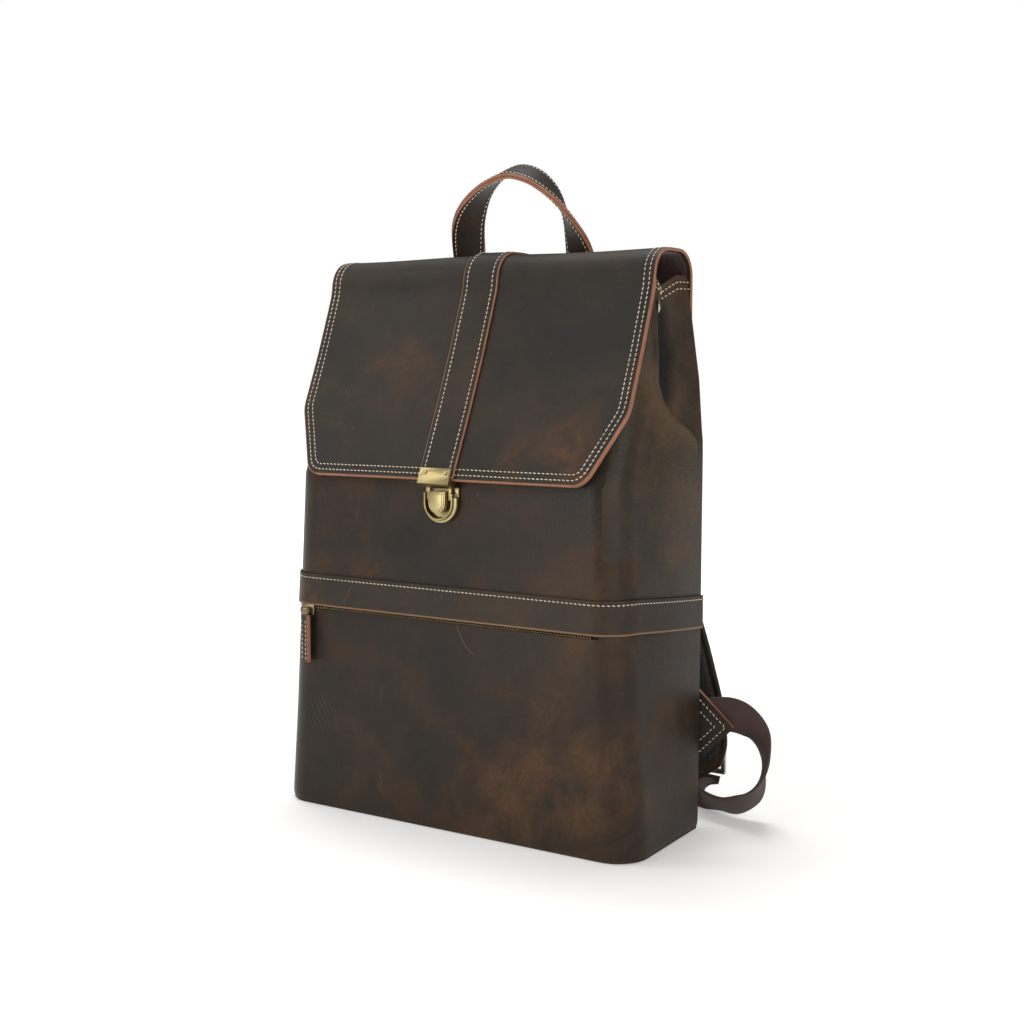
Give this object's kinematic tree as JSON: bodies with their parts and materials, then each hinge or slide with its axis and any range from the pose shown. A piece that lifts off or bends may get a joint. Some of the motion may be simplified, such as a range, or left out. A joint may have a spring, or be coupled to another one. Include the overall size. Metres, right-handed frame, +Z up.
{
  "type": "leather backpack",
  "caption": "Leather backpack with a fold-over flap, push-button tuck lock, trim band over a zipped front pocket, top handle and padded shoulder straps with webbing loops.",
  "frame": {"origin": "centre of the underside of the base", "axes": "+Z up, -Y out of the front face, +X to the right as seen from the front"},
  "size_m": [0.3866, 0.17, 0.4698],
  "materials": {
    "shell_leather": "waxed pull-up leather, dark brown, mottled and scuffed",
    "flap_leather": "waxed pull-up leather, dark olive brown, matte",
    "edge_leather": "raw russet leather with burnished edges",
    "back_leather": "dark brown leather, softly grained",
    "strap_leather": "dark brown leather with stitched edges",
    "antique_brass": "antique brass with dark recesses",
    "snap_metal": "pale antique brass",
    "spring_steel": "bright wire",
    "lining_fabric": "plain woven cotton lining, brown",
    "padding": "foam padding",
    "board": "fibre board stiffener",
    "mesh_fabric": "black spacer mesh",
    "webbing": "twill-woven nylon webbing, maroon brown",
    "zip_tape": "woven zip tape, dark brown",
    "zip_metal": "antique brass"
  },
  "bodies": {
    "bag": {"base_panel": "shell_leather", "base_board": "board", "lower_shell": "shell_leather", "upper_shell": "shell_leather", "trim_band": "shell_leather", "back_panel": "back_leather", "back_padding": "padding", "main_lining": "lining_fabric", "pocket_lining": "lining_fabric", "mouth_hem": "edge_leather", "laptop_sleeve": "lining_fabric", "organizer_pocket": "lining_fabric", "flap_roll": "flap_leather", "flap_roll_lining": "lining_fabric", "roll_centre_strip": "flap_leather", "back_yoke": "back_leather", "handle_tails": "strap_leather", "lock_body": "antique_brass", "lock_back_plate": "antique_brass", "lock_rivets": "antique_brass", "zip_tape": "zip_tape", "zip_coil_upper": "zip_metal", "zip_coil_lower": "zip_metal", "zip_end_stops": "zip_metal", "strap_tops": "strap_leather", "gusset_snap_caps": "snap_metal", "gusset_snap_sockets": "snap_metal", "strap_anchor_left": "edge_leather", "strap_webbing_left": "webbing", "strap_anchor_right": "edge_leather", "strap_webbing_right": "webbing"},
    "flap": {"flap_leather": "flap_leather", "flap_facing": "edge_leather", "flap_lining": "lining_fabric", "flap_centre_strip": "flap_leather", "lock_clasp": "antique_brass", "lock_clasp_rivets": "antique_brass"},
    "handle": {"handle_leather": "strap_leather", "handle_core": "edge_leather", "handle_lining": "strap_leather"},
    "lock_button": {"lock_button": "antique_brass", "lock_spring": "spring_steel"},
    "zip_slider": {"zip_slider": "zip_metal"},
    "zip_pull": {"zip_pull_hook": "zip_metal", "zip_pull_tab": "edge_leather"},
    "strap_left": {"shoulder_strap_left": "strap_leather", "strap_foam_left": "padding", "strap_mesh_left": "mesh_fabric", "strap_keeper_left": "strap_leather", "strap_slider_left": "antique_brass"},
    "strap_right": {"shoulder_strap_right": "strap_leather", "strap_foam_right": "padding", "strap_mesh_right": "mesh_fabric", "strap_keeper_right": "strap_leather", "strap_slider_right": "antique_brass"}
  },
  "joints": [
    {"name": "flap_open", "type": "hinge", "parent": "bag", "child": "flap", "pos_m": [0, 0.02755, 0.4034], "axis": [-1, 0, 0], "range_deg": [0, 130]},
    {"name": "handle_fold", "type": "hinge", "parent": "bag", "child": "handle", "pos_m": [0, 0.0584, 0.374], "axis": [-1, 0, 0], "range_deg": [0, 75]},
    {"name": "strap_left_swing", "type": "hinge", "parent": "bag", "child": "strap_left", "pos_m": [-0.036, 0.0584, 0.317], "axis": [1, 0, 0], "range_deg": [0, 12]},
    {"name": "strap_right_swing", "type": "hinge", "parent": "bag", "child": "strap_right", "pos_m": [0.036, 0.0584, 0.317], "axis": [1, 0, 0], "range_deg": [0, 12]},
    {"name": "lock_press", "type": "slide", "parent": "bag", "child": "lock_button", "axis": [0, 1, 0], "range_m": [0, 0.0018], "stiffness_N_per_m": 1500, "springref_m": -0.001, "deforming": ["lock_spring"]},
    {"name": "zip_slide", "type": "slide", "parent": "bag", "child": "zip_slider", "axis": [1, 0, 0], "range_m": [0, 0.236]},
    {"name": "zip_pull_swing", "type": "hinge", "parent": "zip_slider", "child": "zip_pull", "pos_m": [-0.119, -0.05463, 0.146], "axis": [-1, 0, 0], "range_deg": [0, 100]}
  ]
}
